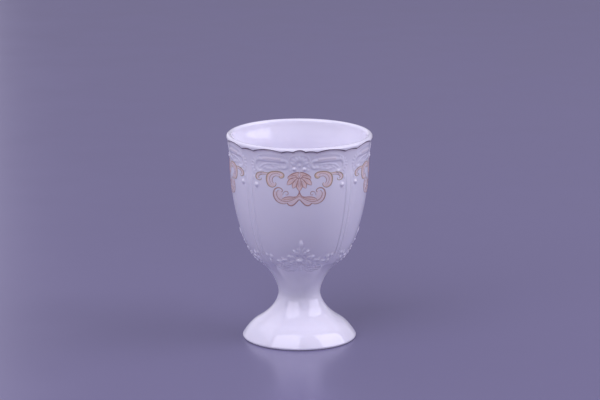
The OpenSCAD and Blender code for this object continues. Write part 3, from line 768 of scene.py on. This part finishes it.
# The painted line: mean width, gap over the edge, heights of its rims and of its dome, reach into the band
PAINT_W, PAINT_GAP, PAINT_RIM, PAINT_DOME, PAINT_UNDER = 0.33, 0.03, 0.012, 0.03, 0.06
STEP_FILL = 0.95            # how much of the step up to the band the line follows


def make_painted_line():
    """A thin domed ring on the band, just over the scalloped edge, a little uneven as a hand paints it."""
    turns = around(COLS)
    start = edge_run_at(edge_z(in_panel(turns)))
    width = PAINT_W * (1 + 0.10 * np.sin(np.radians(turns * 7 + 20)) + 0.08 * np.sin(np.radians(turns * 23)))
    across = np.linspace(0, 1, 7)
    rows = []
    for share, on_top in [(s, True) for s in across] + [(s, False) for s in across[::-1]]:
        run = start + PAINT_GAP + width * share
        r, z = band_point(run)
        sunk = np.interp(run - start, [past for past, _ in STEP], [BAND_STEP - rise for _, rise in STEP])
        dome = PAINT_RIM + PAINT_DOME * math.sqrt(max(0, 1 - (2 * share - 1) ** 2))
        rows.append(to_xyz(turns, r - sunk * STEP_FILL + dome if on_top else r - sunk - PAINT_UNDER, z))
    rows_n = len(rows)
    j = np.arange(COLS)
    k = (j + 1) % COLS
    closing = np.stack([(rows_n - 1) * COLS + j, (rows_n - 1) * COLS + k, k, j], axis=-1)
    return build("painted_line", np.vstack(rows), np.vstack([grid_quads(rows_n, COLS), closing]), angle=60)


# ---------------------------------------------------------------- materials
class Nodes:
    """A material with one Principled shader, and short ways to feed it."""

    def __init__(self, name):
        self.mat = bpy.data.materials.new(name)
        self.mat.use_nodes = True
        self.tree = self.mat.node_tree
        self.tree.nodes.clear()
        self.bsdf = self.node("ShaderNodeBsdfPrincipled")
        self.link(self.bsdf.outputs[0], self.node("ShaderNodeOutputMaterial").inputs[0])
        self.place = self.node("ShaderNodeTexCoord").outputs["Object"]

    def node(self, kind, **settings):
        n = self.tree.nodes.new(kind)
        for key, value in settings.items():
            setattr(n, key, value)
        return n

    def link(self, source, socket):
        self.tree.links.new(source, socket)

    def feed(self, name, source):
        self.link(source, self.bsdf.inputs[name])

    def set(self, values):
        for name, value in values.items():
            self.bsdf.inputs[name].default_value = value

    def field(self, name):
        return self.node("ShaderNodeAttribute", attribute_name=name).outputs["Fac"]

    def ramp(self, source, *stops):
        n = self.node("ShaderNodeValToRGB")
        while len(n.color_ramp.elements) < len(stops):
            n.color_ramp.elements.new(0.5)
        for element, (at, colour) in zip(n.color_ramp.elements, stops):
            element.position = at
            element.color = (*colour, 1)
        self.link(source, n.inputs[0])
        return n.outputs[0]

    def mix(self, factor, a, b):
        """From a to b, where either may be a colour or a socket."""
        n = self.node("ShaderNodeMix", data_type="RGBA")
        self.link(factor, n.inputs[0])
        for socket, value in ((n.inputs[6], a), (n.inputs[7], b)):
            if isinstance(value, bpy.types.NodeSocket):
                self.link(value, socket)
            else:
                socket.default_value = (*value, 1)
        return n.outputs[2]

    def number(self, source, *limits):
        """Limits are from, to, and what they become."""
        n = self.node("ShaderNodeMapRange")
        self.link(source, n.inputs[0])
        for socket, value in zip(n.inputs[1:5], limits):
            socket.default_value = value
        return n.outputs[0]

    def noise(self, scale, detail):
        n = self.node("ShaderNodeTexNoise")
        n.inputs["Scale"].default_value = scale
        n.inputs["Detail"].default_value = detail
        self.link(self.place, n.inputs["Vector"])
        return n.outputs[0]

    def bump(self, height, distance, strength, after=None):
        n = self.node("ShaderNodeBump")
        n.inputs["Strength"].default_value = strength
        n.inputs["Distance"].default_value = distance
        self.link(height, n.inputs["Height"])
        if after:
            self.link(after, n.inputs["Normal"])
        return n.outputs[0]


GLAZE = {"IOR": 1.5, "Coat Weight": 0.4, "Coat Roughness": 0.02, "Subsurface Weight": 0.12,
         "Subsurface Radius": (0.0020, 0.0018, 0.0016), "Subsurface Scale": 1.0}
WHITES = ((0.3, (0.87, 0.85, 0.94)), (0.7, (0.89, 0.87, 0.955)))
# the pooled colour is the tint of glaze gathered in the moulding's hollows, together with painted shade there
# the warm colour is the line's colour with a painted shadow under the band's step, and a salmon tint on the pearls
POOLED_GLAZE_AND_SHADE, WARM_TINT_AND_SHADE, BARE_ROUGH = (0.66, 0.61, 0.76), (0.80, 0.62, 0.60), 0.75
WAVE, GRAIN = 0.0002, 0.00002       # depths in metres of the glaze's waves and of a fine grain


def glaze_rough(m):
    return m.number(m.noise(140, 3), 0.3, 0.7, 0.03, 0.06)


def glaze_wave(m, after=None):
    return m.bump(m.noise(45, 1), WAVE, 0.22, after)


def glazed_porcelain():
    m = Nodes("glazed_porcelain")
    body = m.ramp(m.noise(60, 2), *WHITES)
    # painted shade: the hollows darkened and cooled, with the tint of the glaze gathered there
    tint = m.mix(m.number(m.field("hollow"), 0, 1, 0, 0.4), body, POOLED_GLAZE_AND_SHADE)
    # painted shadow under the band's step with the line's colour, and a salmon tint on the pearls
    m.feed("Base Color", m.mix(m.number(m.field("warm"), 0, 1, 0, 0.42), tint, WARM_TINT_AND_SHADE))
    m.feed("Roughness", glaze_rough(m))
    m.feed("Normal", glaze_wave(m, m.bump(m.noise(420, 2), GRAIN, 0.35)))
    m.set(GLAZE)
    return m.mat


def foot_porcelain():
    """The same glaze, worn off and bare on the ring that the cup stands on."""
    m = Nodes("glazed_porcelain_foot")
    split = m.node("ShaderNodeSeparateXYZ")
    m.link(m.place, split.inputs[0])
    # height over the table, with an uneven border
    height = m.node("ShaderNodeMath", operation="MULTIPLY_ADD")
    m.link(m.noise(300, 2), height.inputs[0])
    height.inputs[1].default_value = 0.0003
    m.link(split.outputs[2], height.inputs[2])
    bare = m.number(height.outputs[0], 0.00022, 0.00036, 1, 0)
    speck = m.ramp(m.noise(1400, 4), (0.35, (0.52, 0.48, 0.45)), (0.6, (0.70, 0.67, 0.64)))
    m.feed("Base Color", m.mix(bare, m.ramp(m.noise(60, 2), *WHITES), speck))
    rough = m.node("ShaderNodeMix", data_type="FLOAT")
    m.link(bare, rough.inputs[0])
    m.link(glaze_rough(m), rough.inputs[2])
    rough.inputs[3].default_value = BARE_ROUGH
    m.feed("Roughness", rough.outputs[0])
    m.feed("Normal", glaze_wave(m))
    m.set(GLAZE)
    return m.mat


def fired(m, colour, rough_scale, rough, grain, coat):
    """Finishes a fired colour: uneven gloss, a thin coat (weight, roughness) and a fine grain."""
    m.feed("Base Color", colour)
    m.feed("Roughness", m.number(m.noise(rough_scale, 2), 0.3, 0.7, *rough))
    m.feed("Normal", m.bump(m.noise(grain, 3), GRAIN, 0.4))
    m.set(dict(zip(("Coat Weight", "Coat Roughness"), coat)))
    return m.mat


def enamel_colour():
    m = Nodes("salmon_enamel")
    wash = m.ramp(m.field("tone"), (0.0, (0.88, 0.80, 0.86)), (0.5, (0.93, 0.66, 0.56)), (1.0, (0.84, 0.65, 0.43)))
    cloud = m.mix(m.number(m.noise(900, 3), 0.35, 0.65, 0, 0.3), wash, (0.88, 0.68, 0.62))
    return fired(m, cloud, 700, (0.2, 0.34), 1500, (0.25, 0.12))


def print_colour():
    m = Nodes("gold_brown_print")
    ink = m.ramp(m.field("tone"), (0.4, (0.49, 0.27, 0.26)), (0.6, (0.50, 0.31, 0.26)), (1.0, (0.47, 0.38, 0.25)))
    cloud = m.mix(m.number(m.noise(1100, 3), 0.3, 0.7, 0, 0.5), ink, (0.58, 0.38, 0.32))
    return fired(m, cloud, 800, (0.24, 0.4), 1700, (0.2, 0.15))


def line_colour():
    m = Nodes("mauve_line")
    ink = m.ramp(m.noise(500, 4), (0.35, (0.085, 0.055, 0.085)), (0.65, (0.16, 0.11, 0.15)))
    return fired(m, ink, 900, (0.22, 0.4), 1500, (0.25, 0.12))


def floor_colour():
    m = Nodes("lavender_floor")
    m.feed("Base Color", m.ramp(m.noise(3, 2), (0.3, (0.191, 0.173, 0.294)), (0.7, (0.198, 0.180, 0.303))))
    m.feed("Roughness", m.number(m.noise(30, 2), 0.3, 0.7, 0.20, 0.25))
    m.set({"Specular IOR Level": 0.4})
    return m.mat


# ---------------------------------------------------------------- the pieces on their body
def dress(ob, material, node_name):
    ob.data.materials.append(material)
    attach(ob, "root")
    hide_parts(node_name)


porcelain, enamel, gold_brown = glazed_porcelain(), enamel_colour(), print_colour()
dress(make_bowl(), porcelain, "bowl")
dress(make_foot(), foot_porcelain(), "foot")
dress(make_slip(), porcelain, "slip_seam")
dress(make_painted_line(), line_colour(), "rim_line")
for word, middle_turn in (("front", 0), ("right", 90), ("back", 180), ("left", -90)):
    colour_piece, print_piece = make_ornament(middle_turn, word + "_colour", word + "_print")
    dress(colour_piece, enamel, word + "_enamel")
    dress(print_piece, gold_brown, word + "_linework")

# ---------------------------------------------------------------- floor and light, in metres
FLOOR_HALF = 6.0
LIGHT_COLOUR = (0.85, 0.82, 1.0)
WORLD_LIGHT, WORLD_SEEN = 0.07, (0.195, 0.171, 0.328)


def add_floor():
    me = bpy.data.meshes.new("floor")
    h = FLOOR_HALF
    me.from_pydata([(-h, -h, 0), (h, -h, 0), (h, h, 0), (-h, h, 0)], [], [(0, 1, 2, 3)])
    me.materials.append(floor_colour())
    floor = bpy.data.objects.new("floor", me)
    bpy.context.scene.collection.objects.link(floor)


def add_world():
    """A dim even light, and the floor's colour where the camera looks past the floor."""
    world = bpy.data.worlds.new("studio")
    bpy.context.scene.world = world
    world.use_nodes = True
    nodes, links = world.node_tree.nodes, world.node_tree.links
    nodes.clear()
    out, mix = nodes.new("ShaderNodeOutputWorld"), nodes.new("ShaderNodeMixShader")
    links.new(nodes.new("ShaderNodeLightPath").outputs["Is Camera Ray"], mix.inputs[0])
    for socket, colour, strength in ((mix.inputs[1], LIGHT_COLOUR, WORLD_LIGHT), (mix.inputs[2], WORLD_SEEN, 1.0)):
        background = nodes.new("ShaderNodeBackground")
        background.inputs[0].default_value = (*colour, 1)
        background.inputs[1].default_value = strength
        links.new(background.outputs[0], socket)
    links.new(mix.outputs[0], out.inputs[0])


def towards(azimuth, rise):
    """A direction from the cup; azimuth is counted from the camera's side to the right."""
    a, e = math.radians(azimuth), math.radians(rise)
    return Vector((math.sin(a) * math.cos(e), -math.cos(a) * math.cos(e), math.sin(e)))


def panel_light(name, place, facing, lean, width, tall, watts):
    """A soft panel; its back points to the azimuth facing, raised by lean."""
    data = bpy.data.lights.new(name, "AREA")
    data.shape = "RECTANGLE"
    data.size, data.size_y = width, tall
    data.energy = watts
    data.color = LIGHT_COLOUR
    ob = bpy.data.objects.new(name, data)
    bpy.context.scene.collection.objects.link(ob)
    ob.location = place
    ob.rotation_mode = "QUATERNION"
    ob.rotation_quaternion = (-towards(facing, lean)).to_track_quat("-Z", "Y")


def wall_light(name, azimuth, away, low, high, width, watts):
    """An upright panel that faces the cup, with its lower and upper edge over the floor."""
    place = towards(azimuth, 0) * away + Vector((0, 0, (low + high) / 2))
    panel_light(name, place, azimuth, 0, width, high - low, watts)


add_floor()
add_world()
# The two tilted panels give the reflections on the foot and the stem. The walls fill in the edges and the far floor.
# A panel: place, facing, lean, width, height, watts. A wall: azimuth, distance, lower and upper edge, width, watts
panel_light("left_panel", towards(-43, 51.5) * 2.2, -13, 29, 1.92, 2.33, 34.5)
panel_light("right_panel", towards(95, 31.5) * 1.8, 43.5, 14, 1.98, 1.46, 24)
wall_light("left_wall", -125, 1.7, 0.1, 2.6, 3.6, 19)
wall_light("right_wall", 128, 1.9, 0.1, 1.6, 1.5, 2.6)
wall_light("backdrop", 180, 2.6, 0.1, 1.3, 4.0, 2.5)
panel_light("top_panel", (0, 0.3, 1.8), 0, 90, 4.4, 3.4, 22.5)
bpy.context.scene.view_settings.view_transform = "Standard"
